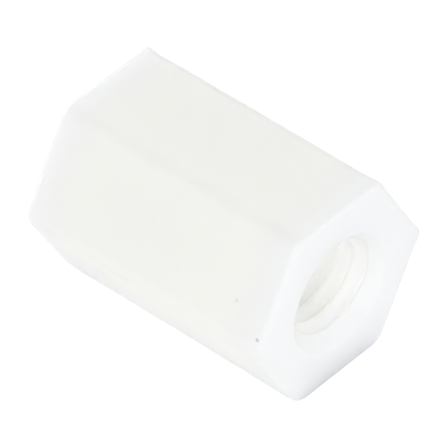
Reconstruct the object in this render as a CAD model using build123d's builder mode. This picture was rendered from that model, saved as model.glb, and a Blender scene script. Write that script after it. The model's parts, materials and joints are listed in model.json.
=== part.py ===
"""A female-female hex standoff for an M3 screw at each end, in natural nylon, in millimetres.

The hexagonal bar lies on one of its flats along X: the middle of the bottom flat is the origin,
the two ends face -X and +X, and the corners at its widest are at -Y and +Y.
"""

import os

from build123d import *

# Hexagonal bar
across_flats = 5.5
body_length = 8.0
corner_radius = 0.55  # rounding of the six long corners
end_edge_radius = 0.15  # rounding round both end faces

# Thread: the bore is the tap size for M3 x 0.5, and the crests of the thread lie on it
bore_diameter = 2.5
mouth_diameter = 3.5  # countersink at each end, where the thread starts
mouth_angle = 90

# The planes that the two ends are worked from, each looking out of its own end
axis_height = across_flats / 2
ends = [
    Plane(origin=(side * body_length / 2, 0, axis_height), z_dir=(side, 0, 0))
    for side in (-1, 1)
]

with BuildPart() as hex_standoff:
    # A corner of the hexagon points along Y, so the bar has a flat at its bottom and its top
    with BuildSketch(Plane.YZ.offset(-body_length / 2)) as section:
        with Locations((0, axis_height)):
            RegularPolygon(radius=across_flats / 2, side_count=6, major_radius=False)
        fillet(section.vertices(), radius=corner_radius)
    extrude(amount=body_length)

    end_faces = hex_standoff.faces().filter_by(Axis.X)
    fillet(end_faces.edges(), radius=end_edge_radius)

    # One bore right through, opened out at both mouths
    with Locations(*ends):
        CounterSinkHole(
            radius=bore_diameter / 2,
            counter_sink_radius=mouth_diameter / 2,
            counter_sink_angle=mouth_angle,
        )

hex_standoff.part.label = "hex_standoff"

os.makedirs("parts", exist_ok=True)
export_step(hex_standoff.part, "parts/hex_standoff.step")
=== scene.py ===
"""The looks of the hex standoff: one piece of milky nylon with a real M3 thread, on a pale floor.

The hexagonal bar lies along X, and its axis is at half its height. Each column of the mesh is one
direction round that axis, so flats, end faces, countersinks and thread are one closed skin.
"""

import json
import math

import bpy
import numpy as np
from mathutils import Matrix, Vector, noise


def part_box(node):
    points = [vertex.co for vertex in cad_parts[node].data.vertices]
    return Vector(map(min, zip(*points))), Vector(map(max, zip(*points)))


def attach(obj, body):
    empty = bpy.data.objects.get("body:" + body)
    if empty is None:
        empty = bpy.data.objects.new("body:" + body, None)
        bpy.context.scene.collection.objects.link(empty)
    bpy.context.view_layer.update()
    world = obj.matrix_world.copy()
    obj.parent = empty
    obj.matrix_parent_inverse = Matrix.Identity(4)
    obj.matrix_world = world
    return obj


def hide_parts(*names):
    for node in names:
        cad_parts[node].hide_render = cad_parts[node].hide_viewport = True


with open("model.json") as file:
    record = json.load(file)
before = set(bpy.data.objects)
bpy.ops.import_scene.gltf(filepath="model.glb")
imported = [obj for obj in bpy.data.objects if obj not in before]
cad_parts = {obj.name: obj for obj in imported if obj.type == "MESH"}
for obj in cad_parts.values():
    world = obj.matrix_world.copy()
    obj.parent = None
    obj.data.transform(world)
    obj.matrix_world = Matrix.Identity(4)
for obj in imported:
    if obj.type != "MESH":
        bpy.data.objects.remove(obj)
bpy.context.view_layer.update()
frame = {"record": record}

MM = 0.001
NODE = "hex_standoff"

# ---------------------------------------------------------------- sizes, from the frame
low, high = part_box(NODE)
LENGTH = high.x - low.x
APOTHEM = (high.z - low.z) / 2  # half the size across flats
AXIS_HEIGHT = (high.z + low.z) / 2
thread_mount = next(m for m in frame["record"]["mounts"] if m["name"] == "thread_a")
CREST_RADIUS = thread_mount["dims"]["r_mm"] * MM  # the tap-size bore
WALL_LENGTH = thread_mount["dims"]["length_mm"] * MM  # the bore between its two countersinks
MOUTH_RADIUS = CREST_RADIUS + (LENGTH - WALL_LENGTH) / 2  # a countersink's sides slope at 45 degrees
SHARP_CORNER = APOTHEM / math.cos(math.pi / 6)
# A rounding of radius r takes r * (1 / cos 30 - 1) off the hexagon's sharp corner
CORNER_RADIUS = (SHARP_CORNER - high.y) / (1 / math.cos(math.pi / 6) - 1)

# ---------------------------------------------------------------- sizes that the frame leaves out
END_EDGE_RADIUS = 0.15 * MM
LIP_RADIUS = 0.05 * MM  # rounding where the end face meets the countersink
PITCH = 0.5 * MM  # M3 coarse
MAJOR_RADIUS = 1.5 * MM
SHARP_ROOT = MAJOR_RADIUS + PITCH * math.sqrt(3) / 16  # where the flanks would meet
ROOT_RADIUS = 1.52 * MM  # the bottom of the groove, just past the major radius
FLANK_SLOPE = math.tan(math.pi / 6)  # each flank leans 30 degrees from square to the axis
THREAD_SOFTNESS = 0.02 * MM  # how much each corner of the thread's section is rounded
MOUTH_SOFTNESS = 0.03 * MM  # the same where the countersink cuts the thread
THREAD_SHIFT = -0.15 * MM  # of the whole thread along X, which sets where its crests reach the mouth

# ---------------------------------------------------------------- what cutting and handling left
# Burrs where the bar was cut off: the end, the corner counted from +Y towards +Z, height and spread
BURRS = (
    (-1, 1, 0.075 * MM, 0.17 * MM),
    (1, 1, 0.040 * MM, 0.30 * MM),
    (1, 0, 0.050 * MM, 0.22 * MM),
)
WAVINESS = 0.004 * MM  # of every surface, over about a millimetre
WAVES = 0.9  # for each millimetre
STREAK_DEPTH = 0.0015 * MM  # drawn along the flats
STREAK_STRETCH = (0.12, 3, 3)  # along X, Y and Z, for each millimetre
FRAYING = 0.010 * MM  # of the thread's crests
FRAYS = 7  # for each millimetre

# Marks that the bar picked up: centre, radii, turn and strength, in millimetres and radians
SPECKS = (
    ((2.86, -2.64, 3.68), (0.045, 0.04, 0.04), (0, 0, 0), 0.15),
    ((3.83, -2.95, 3.13), (0.050, 0.045, 0.045), (0, 0, 0), 0.35),
)
SCUFFS = (((3.365, -1.785, 0.34), (0.14, 0.035, 0.035), (0, 1.05, 0.8), 0.6),)
MARK_GRAIN = 12.0  # for each millimetre, of the raggedness of a mark's edge
MARK_REACH = 0.8  # of the radii, where the edge has no raggedness
MARK_SHARPNESS = 2.5  # of that edge

# ---------------------------------------------------------------- the nylon; colours are linear
NYLON_ABOVE = (0.970, 0.975, 0.885, 1)  # yellower on the upper side
NYLON_BELOW = (0.972, 0.972, 0.955, 1)
NYLON_END_PAINTED_SHADE = (0.838, 0.852, 0.870, 1)  # painted shade and a painted cool tint of light: darker and cooler towards the two cut ends
NYLON_CLOUD = (0.950, 0.955, 0.875, 1)
NYLON_TAPPED_PAINTED_LIGHT = (0.995, 0.995, 0.985, 1)  # painted light that lifts the shade inside the bore, on a thread that tapping also leaves a little whiter than the skin
SPECK_COLOUR = (0.12, 0.09, 0.06, 1)
SCUFF_COLOUR = (0.45, 0.42, 0.38, 1)
YELLOW_FROM = 0.4 * AXIS_HEIGHT / MM  # millimetres up; it is full a millimetre higher
CLOUDS, CLOUD_SHARE = 0.45, 0.25  # clouds for each millimetre, and how far they tint
END_SHADE_POWER = 2.0  # of the share of the way from the middle to an end, for the painted shade at the ends

LIGHT_REACH = 1.8 * MM  # how far light goes in the nylon between two turns
REACH_BY_COLOUR = (1.0, 0.96, 0.88)  # red goes furthest
NYLON_IOR = 1.53

SATIN = 0.3  # least roughness
WORN_DULLNESS, WORN_PATCHES = 0.2, 1.3  # most that handling adds, and patches for each millimetre
CUT_DULLNESS = 0.06  # more on the end faces
TAPPED_DULLNESS = 0.08  # more on the thread
TAPPED_EDGE = 0.1  # millimetres that the thread's look goes past it
END_FACE_POWER = 8.0  # how sharply the look of an end face gives way round its edge

RELIEF_DEPTH, RELIEF_STRENGTH = 0.004 * MM, 0.35
# Each of these has its scale for each millimetre first
LINES, LINE_STRETCH = 9.0, (0.06, 1, 1)
RINGS, RING_SHARE, RING_WOBBLE = 2.2, 0.35, 0.8
FINE_GRAIN, FINE_SHARE = 28.0, 0.5

# ---------------------------------------------------------------- how finely the skin is divided
ARC_STEPS = 8  # round each long corner
FLAT_STEPS = 16  # across each flat
EDGE_STEPS = 5  # round the edge of an end face
LIP_STEPS = 3  # round the lip of the countersink
FACE_STEPS = 10  # from the mouth out to the edge of an end face
CONE_STEPS = 4  # from the lip to where the thread begins
ROWS_PER_TURN = 20  # along the bore, for each turn of the thread
SKIN_STEPS = 90  # along the flats
EVEN_SHARE = 0.6  # of the steps along the flats; the rest crowd towards the ends


def soft_max(a, b, softness):
    """The larger of the two, with the corner between them rounded."""
    return (a + b + np.sqrt((a - b) ** 2 + softness**2)) / 2


def soft_min(a, b, softness):
    """The smaller of the two, rounded in the same way."""
    return (a + b - np.sqrt((a - b) ** 2 + softness**2)) / 2


# ---------------------------------------------------------------- the section
def hexagon_outline():
    """Y and Z of the points round the section, and the way each one faces, from +Y towards +Z."""
    points, facings = [], []
    arc_centre = (APOTHEM - CORNER_RADIUS) / math.cos(math.pi / 6)
    half_flat = (APOTHEM - CORNER_RADIUS) * math.tan(math.pi / 6)
    for corner in range(6):
        middle = math.radians(60 * corner)
        centre = arc_centre * np.array((math.cos(middle), math.sin(middle)))
        for facing in middle + np.linspace(-math.pi / 6, math.pi / 6, ARC_STEPS + 1):
            points.append(centre + CORNER_RADIUS * np.array((math.cos(facing), math.sin(facing))))
            facings.append(facing)
        facing = middle + math.pi / 6
        out = np.array((math.cos(facing), math.sin(facing)))
        along = np.array((-math.sin(facing), math.cos(facing)))
        for share in np.linspace(-1, 1, FLAT_STEPS + 1)[1:-1]:
            points.append(APOTHEM * out + share * half_flat * along)
            facings.append(facing)
    return np.array(points), np.array(facings)


OUTLINE, FACING = hexagon_outline()
OUTWARD = np.column_stack((np.cos(FACING), np.sin(FACING)))
ANGLE = np.unwrap(np.arctan2(OUTLINE[:, 1], OUTLINE[:, 0]))
RADIAL = np.column_stack((np.cos(ANGLE), np.sin(ANGLE)))
COLUMNS = len(OUTLINE)


# ---------------------------------------------------------------- the thread
def cone_radius(x):
    """The countersink's radius, which is under the crests' between the two countersinks."""
    return CREST_RADIUS + np.abs(x) - WALL_LENGTH / 2


def thread_radius(x, angle):
    """A right-hand 60 degree thread: it moves one pitch along +X for a turn from +Y towards +Z."""
    turn = ((x - THREAD_SHIFT) / PITCH - angle / (2 * math.pi)) % 1.0
    from_groove = np.abs(turn - 0.5) * PITCH
    flank = SHARP_ROOT - from_groove / FLANK_SLOPE
    return soft_min(soft_max(flank, CREST_RADIUS, THREAD_SOFTNESS), ROOT_RADIUS, THREAD_SOFTNESS)


def bore_radius(x, angle):
    """The thread, cut off by the countersinks."""
    return soft_max(thread_radius(x, angle), cone_radius(x), MOUTH_SOFTNESS)


# ---------------------------------------------------------------- the skin
class Skin:
    """Points and faces, with the way each point faces, for the small dents that come last."""

    def __init__(self):
        self.points, self.normals, self.faces = [], [], []

    def ring(self, x, flat, normal_x, normal_flat):
        """A closed ring of one point for each column. Returns their numbers."""
        first = len(self.points)
        for (y, z), (ny, nz) in zip(flat, normal_flat):
            self.points.append((x, y, z + AXIS_HEIGHT))
            self.normals.append((normal_x, ny, nz))
        return list(range(first, first + COLUMNS))

    def face(self, *corners):
        """A face, less the corners that fell together."""
        kept = [c for i, c in enumerate(corners) if c != corners[i - 1]]
        if len(set(kept)) > 2:
            self.faces.append(kept)

    def band(self, a, b):
        """The faces between two rings."""
        for i in range(COLUMNS):
            j = (i + 1) % COLUMNS
            self.face(a[i], a[j], b[j], b[i])


def end_rings(skin, side):
    """The rings from the edge of the flats to the bottom of the countersink, at one end."""
    rings = []
    end = side * LENGTH / 2
    for turn in np.linspace(0, math.pi / 2, EDGE_STEPS + 1):
        inset = END_EDGE_RADIUS * (1 - math.cos(turn))
        x = end - side * END_EDGE_RADIUS * (1 - math.sin(turn))
        outline = OUTLINE - inset * OUTWARD
        rings.append(skin.ring(x, outline, side * math.sin(turn), OUTWARD * math.cos(turn)))
    edge = OUTLINE - END_EDGE_RADIUS * OUTWARD
    # The lip is an arc that touches the end face and the countersink, 45 degrees apart
    tangent = LIP_RADIUS * math.tan(math.pi / 8)
    lip = (MOUTH_RADIUS + tangent) * RADIAL
    for share in np.linspace(0, 1, FACE_STEPS + 1)[1:]:
        rings.append(skin.ring(end, edge + share * (lip - edge), side, 0 * RADIAL))
    for turn in np.linspace(0, math.pi / 4, LIP_STEPS + 1)[1:]:
        radius = MOUTH_RADIUS + tangent - LIP_RADIUS * math.sin(turn)
        x = end - side * LIP_RADIUS * (1 - math.cos(turn))
        rings.append(skin.ring(x, radius * RADIAL, side * math.cos(turn), -RADIAL * math.sin(turn)))
    cone_top = abs(x)
    cone_foot = WALL_LENGTH / 2 + ROOT_RADIUS + MOUTH_SOFTNESS - CREST_RADIUS
    for x in np.linspace(cone_top, cone_foot, CONE_STEPS + 1)[1:]:
        flat = bore_radius(x, ANGLE)[:, None] * RADIAL
        rings.append(skin.ring(side * x, flat, side * math.sqrt(0.5), -RADIAL * math.sqrt(0.5)))
    return rings, cone_foot


def thread_rows(skin, low_ring, high_ring, limit):
    """Rows that follow the helix from one countersink to the other, and join the rings there."""
    step = PITCH / ROWS_PER_TURN
    start = -limit - PITCH
    rows = math.ceil((limit - start) / step) + 1
    number = np.empty((COLUMNS, rows), int)
    for i in range(COLUMNS):
        xs = start + PITCH * (ANGLE[i] - ANGLE[0]) / (2 * math.pi) + step * np.arange(rows)
        radii = bore_radius(xs, ANGLE[i])
        for k in range(rows):
            if xs[k] < -limit + step / 3:
                number[i, k] = low_ring[i]
            elif xs[k] > limit - step / 3:
                number[i, k] = high_ring[i]
            else:
                number[i, k] = len(skin.points)
                y, z = radii[k] * RADIAL[i]
                skin.points.append((xs[k], y, z + AXIS_HEIGHT))
                skin.normals.append((0, -RADIAL[i][0], -RADIAL[i][1]))
    for i in range(COLUMNS):
        # Past the last column, a row goes on as the row one turn further along
        j, ahead = (i + 1, 0) if i + 1 < COLUMNS else (0, ROWS_PER_TURN)
        for k in range(rows - 1 - ahead):
            skin.face(number[i, k], number[i, k + 1], number[j, k + 1 + ahead], number[j, k + ahead])


def skin_stations():
    """Where the rings lie along the flats: closer together towards the ends, where the burrs are."""
    reach = LENGTH / 2 - END_EDGE_RADIUS
    shares = np.linspace(-1, 1, SKIN_STEPS + 1)[1:-1]
    return reach * (EVEN_SHARE * shares + (1 - EVEN_SHARE) * np.sin(shares * math.pi / 2))


def build_skin():
    skin = Skin()
    minus, limit = end_rings(skin, -1)
    plus, limit = end_rings(skin, 1)
    middle = [skin.ring(x, OUTLINE, 0, OUTWARD) for x in skin_stations()]
    rings = minus[::-1] + middle + plus
    for a, b in zip(rings, rings[1:]):
        skin.band(a, b)
    thread_rows(skin, minus[-1], plus[-1], limit)
    return skin


# ---------------------------------------------------------------- burrs, waves and frayed crests
def corner_place(end, corner):
    """The middle of a rounded corner at one end of the bar."""
    angle = math.radians(60 * corner)
    radius = SHARP_CORNER - CORNER_RADIUS * (1 / math.cos(math.pi / 6) - 1)
    x = end * (LENGTH / 2 - END_EDGE_RADIUS / 2)
    return np.array((x, radius * math.cos(angle), radius * math.sin(angle) + AXIS_HEIGHT))


def proud(points):
    """How far each point stands out of the drawn shape, in metres."""
    height = np.zeros(len(points))
    for end, corner, burr, spread in BURRS:
        away = np.linalg.norm(points - corner_place(end, corner), axis=1)
        height += burr * np.exp(-((away / spread) ** 2))
    from_axis = np.hypot(points[:, 1], points[:, 2] - AXIS_HEIGHT)
    for i, place in enumerate(map(Vector, points / MM)):
        height[i] += WAVINESS * noise.noise(place * WAVES)
        if from_axis[i] > MOUTH_RADIUS:
            drawn_out = Vector([c * s for c, s in zip(place, STREAK_STRETCH)])
            height[i] += STREAK_DEPTH * noise.noise(drawn_out)
        elif from_axis[i] < CREST_RADIUS + 2 * THREAD_SOFTNESS:
            height[i] += FRAYING * noise.noise(place * FRAYS)
    return height


def make_standoff():
    skin = build_skin()
    points, normals = np.array(skin.points), np.array(skin.normals)
    points += proud(points)[:, None] * normals
    mesh = bpy.data.meshes.new("hex_standoff_body")
    mesh.from_pydata(points.tolist(), [], [list(map(int, f)) for f in skin.faces])
    mesh.validate()
    mesh.shade_smooth()
    piece = bpy.data.objects.new("hex_standoff_body", mesh)
    bpy.context.scene.collection.objects.link(piece)
    return piece


# ---------------------------------------------------------------- materials
def feed(tree, socket, value):
    """Links the socket to another one, or sets it to a plain value."""
    if isinstance(value, bpy.types.NodeSocket):
        tree.links.new(value, socket)
    else:
        socket.default_value = value


def add(tree, kind, inputs=None, **settings):
    """A new node, with its settings made and its inputs fed."""
    node = tree.nodes.new(kind)
    for name, value in settings.items():
        setattr(node, name, value)
    for key, value in (inputs or {}).items():
        feed(tree, node.inputs[key], value)
    return node


def calculate(tree, operation, a, b=0.0, clamp=False):
    """One sum, where a and b are numbers or the sockets that give them."""
    node = add(tree, "ShaderNodeMath", {0: a, 1: b}, operation=operation, use_clamp=clamp)
    return node.outputs[0]


def reckon(tree, operation, a, b=(0, 0, 0)):
    """The same for places and directions."""
    return add(tree, "ShaderNodeVectorMath", {0: a, 1: b}, operation=operation).outputs


def mix_colours(tree, share, a, b):
    """a where share is 0, b where it is 1."""
    mix = add(tree, "ShaderNodeMix", data_type="RGBA")
    # The node repeats these names for other kinds of value
    for name, kind, value in (("Factor", "VALUE", share), ("A", "RGBA", a), ("B", "RGBA", b)):
        socket = next(s for s in mix.inputs if s.name == name and s.type == kind)
        feed(tree, socket, value)
    return next(s for s in mix.outputs if s.type == "RGBA")


def grain(tree, place, scale, stretch=(1, 1, 1), detail=2.0):
    """Noise round 0.5. The scale is for each millimetre, and stretch multiplies it along X, Y and Z."""
    inputs = {"Vector": reckon(tree, "MULTIPLY", place, stretch)[0], "Scale": scale, "Detail": detail}
    return add(tree, "ShaderNodeTexNoise", inputs).outputs["Fac"]


def fading(tree, value, none_at, width):
    """0 where value is none_at or more, and 1 where it is less by width."""
    short = calculate(tree, "SUBTRACT", none_at, value)
    return calculate(tree, "MULTIPLY", short, 1 / width, clamp=True)


def spot(tree, place, centre, radii, turn):
    """1 inside an ellipsoid at centre, in millimetres, and 0 past its soft, ragged edge."""
    inputs = {"Vector": place, "Location": centre, "Rotation": turn, "Scale": radii}
    local = add(tree, "ShaderNodeMapping", inputs, vector_type="TEXTURE").outputs[0]
    away = reckon(tree, "LENGTH", local)["Value"]
    reach = calculate(tree, "ADD", grain(tree, place, MARK_GRAIN), MARK_REACH)
    edge = calculate(tree, "SUBTRACT", reach, away)
    return calculate(tree, "MULTIPLY", edge, MARK_SHARPNESS, clamp=True)


def distance_along(tree, place):
    """How far from the bar's middle, towards either end, in millimetres."""
    along = add(tree, "ShaderNodeSeparateXYZ", {0: place}).outputs["X"]
    return calculate(tree, "ABSOLUTE", along)


def centred_on_axis(tree, place):
    """Y and Z from the bar's axis, in millimetres, with X left out."""
    flat = reckon(tree, "MULTIPLY", place, (0, 1, 1))[0]
    return reckon(tree, "SUBTRACT", flat, (0, 0, AXIS_HEIGHT / MM))[0]


def in_bore(tree, place):
    """1 on the thread, and 0 on the countersinks and the skin."""
    radius = reckon(tree, "LENGTH", centred_on_axis(tree, place))["Value"]
    inside = fading(tree, radius, ROOT_RADIUS / MM + TAPPED_EDGE, TAPPED_EDGE)
    deep = fading(tree, distance_along(tree, place), WALL_LENGTH / 2 / MM + TAPPED_EDGE, 2 * TAPPED_EDGE)
    return calculate(tree, "MULTIPLY", inside, deep)


def on_end_face(tree, normal):
    """1 on the two end faces, and 0 where the surface turns away from the bar's length."""
    facing = add(tree, "ShaderNodeSeparateXYZ", {0: normal}).outputs["X"]
    return calculate(tree, "POWER", calculate(tree, "ABSOLUTE", facing), END_FACE_POWER)


def nylon_colour(tree, place, tapped):
    """Milky and clouded, yellower above than below, with painted shade that darkens and cools it towards
    the two cut ends, and painted light that whitens the thread.
    """
    up = add(tree, "ShaderNodeSeparateXYZ", {0: place}).outputs["Z"]
    above = calculate(tree, "SUBTRACT", up, YELLOW_FROM, clamp=True)
    colour = mix_colours(tree, above, NYLON_BELOW, NYLON_ABOVE)
    cloud = calculate(tree, "MULTIPLY", grain(tree, place, CLOUDS, detail=3.0), CLOUD_SHARE)
    colour = mix_colours(tree, cloud, colour, NYLON_CLOUD)
    # Painted shade: the colour darkens and cools towards both ends
    outward = calculate(tree, "MULTIPLY", distance_along(tree, place), 2 * MM / LENGTH, clamp=True)
    colour = mix_colours(tree, calculate(tree, "POWER", outward, END_SHADE_POWER), colour, NYLON_END_PAINTED_SHADE)
    # Painted light: the thread is whitened to lift the shade inside the bore
    return mix_colours(tree, tapped, colour, NYLON_TAPPED_PAINTED_LIGHT)


def marked(tree, place, colour):
    """The colour with the specks and the scuff laid over it."""
    for marks, tint in ((SPECKS, SPECK_COLOUR), (SCUFFS, SCUFF_COLOUR)):
        for centre, radii, turn, strength in marks:
            mask = calculate(tree, "MULTIPLY", spot(tree, place, centre, radii, turn), strength)
            colour = mix_colours(tree, mask, colour, tint)
    return colour


def nylon_relief(tree, place, end_face):
    """Fine lines drawn along the flats, rings that cutting left on the end faces, and a fine grain."""
    lines = grain(tree, place, LINES, stretch=LINE_STRETCH, detail=3.0)
    inputs = {"Vector": centred_on_axis(tree, place), "Scale": RINGS, "Distortion": RING_WOBBLE}
    inputs["Detail Scale"] = 2.0
    rings = add(tree, "ShaderNodeTexWave", inputs, wave_type="RINGS", rings_direction="X")
    fine = grain(tree, place, FINE_GRAIN)
    lines = calculate(tree, "MULTIPLY", lines, calculate(tree, "SUBTRACT", 1.0, end_face))
    on_ends = calculate(tree, "MULTIPLY", end_face, RING_SHARE)
    rings = calculate(tree, "MULTIPLY", rings.outputs["Fac"], on_ends)
    relief = calculate(tree, "ADD", lines, rings)
    relief = calculate(tree, "ADD", relief, calculate(tree, "MULTIPLY", fine, FINE_SHARE))
    inputs = {"Height": relief, "Strength": RELIEF_STRENGTH, "Distance": RELIEF_DEPTH}
    return add(tree, "ShaderNodeBump", inputs).outputs[0]


def nylon_roughness(tree, place, end_face, tapped):
    """Satin, duller in patches where it has been handled, and duller where it was cut or tapped."""
    worn = calculate(tree, "MULTIPLY", grain(tree, place, WORN_PATCHES, detail=4.0), WORN_DULLNESS)
    cut = calculate(tree, "MULTIPLY", end_face, CUT_DULLNESS)
    cut = calculate(tree, "ADD", cut, calculate(tree, "MULTIPLY", tapped, TAPPED_DULLNESS))
    return calculate(tree, "ADD", calculate(tree, "ADD", SATIN, worn), cut)


def nylon():
    material = bpy.data.materials.new("milky_nylon")
    material.use_nodes = True
    tree = material.node_tree
    where = add(tree, "ShaderNodeTexCoord").outputs
    in_millimetres = {0: where["Object"], "Scale": 1 / MM}
    place = add(tree, "ShaderNodeVectorMath", in_millimetres, operation="SCALE").outputs[0]
    tapped = in_bore(tree, place)
    end_face = on_end_face(tree, where["Normal"])
    colour = nylon_colour(tree, place, tapped)
    shader = tree.nodes["Principled BSDF"].inputs
    feed(tree, shader["Base Color"], marked(tree, place, colour))
    feed(tree, shader["Normal"], nylon_relief(tree, place, end_face))
    feed(tree, shader["Roughness"], nylon_roughness(tree, place, end_face, tapped))
    shader["IOR"].default_value = NYLON_IOR
    shader["Subsurface Weight"].default_value = 1.0
    shader["Subsurface Radius"].default_value = REACH_BY_COLOUR
    shader["Subsurface Scale"].default_value = LIGHT_REACH
    return material


# ---------------------------------------------------------------- floor, lights and camera
CENTRE = Vector((0, 0, AXIS_HEIGHT))

FLOOR_COLOUR = (0.95, 0.95, 0.95, 1)
FLOOR_GLOW = 0.25
FLOOR_SIZE = 1.2  # metres
FLOOR_GAP = 0.01 * MM  # the bar's waviness reaches a little below its drawn bottom
LIGHT_TURNS = 32  # white plastic passes light on many times before it is lost

WORLD_STRENGTH = 0.3
LAMP_DISTANCE, LAMP_SIZE = 0.18, 0.16  # metres
# Soft lamps all round: the azimuth and elevation of each, in degrees, and its power in watts
LAMPS = {
    "over_camera": (42, 45, 0.116),
    "left": (-60, 20, 0.066),
    "low_right": (45, 8, 0.086),
    "back_right": (135, 25, 0.109),
    "back_left": (-135, 30, 0.073),
    "behind": (-90, 6, 0.118),
}

CAMERA_AZIMUTH, CAMERA_ELEVATION, CAMERA_ROLL = 42.46, 42.21, 0.79  # degrees
CAMERA_DISTANCE = 191 * MM
LENS_MM, SENSOR_MM = 605.8, 36
NEAREST, FARTHEST = 0.01, 10  # metres between which the camera sees
AIM_LEFT, AIM_UP = 0.013 * MM, 0.058 * MM  # the part sits a little right of and below the middle


def floor_material():
    """Pale and dull. It adds a little light only where it is looked at, or seen through the nylon."""
    material = bpy.data.materials.new("pale_floor")
    material.use_nodes = True
    tree = material.node_tree
    tree.nodes.clear()
    paper = add(tree, "ShaderNodeBsdfDiffuse", {"Color": FLOOR_COLOUR})
    path = add(tree, "ShaderNodeLightPath").outputs
    looked_at = calculate(tree, "MAXIMUM", path["Is Camera Ray"], path["Is Glossy Ray"])
    looked_at = calculate(tree, "MAXIMUM", looked_at, path["Is Transmission Ray"])
    strength = calculate(tree, "MULTIPLY", looked_at, FLOOR_GLOW)
    glow = add(tree, "ShaderNodeEmission", {"Strength": strength})
    both = add(tree, "ShaderNodeAddShader", {0: paper.outputs[0], 1: glow.outputs[0]})
    add(tree, "ShaderNodeOutputMaterial", {"Surface": both.outputs[0]})
    return material


def make_floor():
    bpy.ops.mesh.primitive_plane_add(size=FLOOR_SIZE, location=(0, 0, -FLOOR_GAP))
    floor = bpy.context.object
    floor.name = "pale_floor"
    floor.data.materials.append(floor_material())


def make_world():
    world = bpy.data.worlds.new("studio")
    bpy.context.scene.world = world
    world.use_nodes = True
    background = world.node_tree.nodes["Background"]
    background.inputs["Color"].default_value = (1, 1, 1, 1)
    background.inputs["Strength"].default_value = WORLD_STRENGTH


def aimed(location, target, roll=0.0):
    """A turn that looks from location at target, rolled clockwise by roll."""
    back = (location - target).normalized()
    right = Vector((0, 0, 1)).cross(back).normalized()
    up = back.cross(right)
    turned_right = math.cos(roll) * right - math.sin(roll) * up
    turned_up = math.sin(roll) * right + math.cos(roll) * up
    return Matrix((turned_right, turned_up, back)).transposed()


def from_angles(azimuth, elevation):
    """The direction towards azimuth and elevation in degrees, where azimuth 0 is -Y and 90 is +X."""
    a, e = math.radians(azimuth), math.radians(elevation)
    return Vector((math.sin(a) * math.cos(e), -math.cos(a) * math.cos(e), math.sin(e)))


def make_lamp(name, azimuth, elevation, power):
    data = bpy.data.lights.new(name, "AREA")
    data.shape = "DISK"
    data.size = LAMP_SIZE
    data.energy = power
    lamp = bpy.data.objects.new(name, data)
    bpy.context.scene.collection.objects.link(lamp)
    location = CENTRE + from_angles(azimuth, elevation) * LAMP_DISTANCE
    lamp.matrix_world = Matrix.Translation(location) @ aimed(location, CENTRE).to_4x4()


def make_camera():
    data = bpy.data.cameras.new("camera")
    data.lens = LENS_MM
    data.sensor_width = SENSOR_MM
    data.clip_start = NEAREST
    data.clip_end = FARTHEST
    camera = bpy.data.objects.new("camera", data)
    bpy.context.scene.collection.objects.link(camera)
    location = CENTRE + from_angles(CAMERA_AZIMUTH, CAMERA_ELEVATION) * CAMERA_DISTANCE
    turn = aimed(location, CENTRE, math.radians(CAMERA_ROLL))
    location += turn @ Vector((-AIM_LEFT, AIM_UP, 0))
    camera.matrix_world = Matrix.Translation(location) @ turn.to_4x4()
    bpy.context.scene.camera = camera


# ---------------------------------------------------------------- the scene
standoff = make_standoff()
standoff.data.materials.append(nylon())
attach(standoff, "root")
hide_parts(NODE)

make_floor()
make_world()
for name, lamp in LAMPS.items():
    make_lamp(name, *lamp)
make_camera()
bpy.context.scene.view_settings.view_transform = "Standard"
bpy.context.scene.cycles.diffuse_bounces = LIGHT_TURNS
bpy.context.scene.cycles.max_bounces = 2 * LIGHT_TURNS
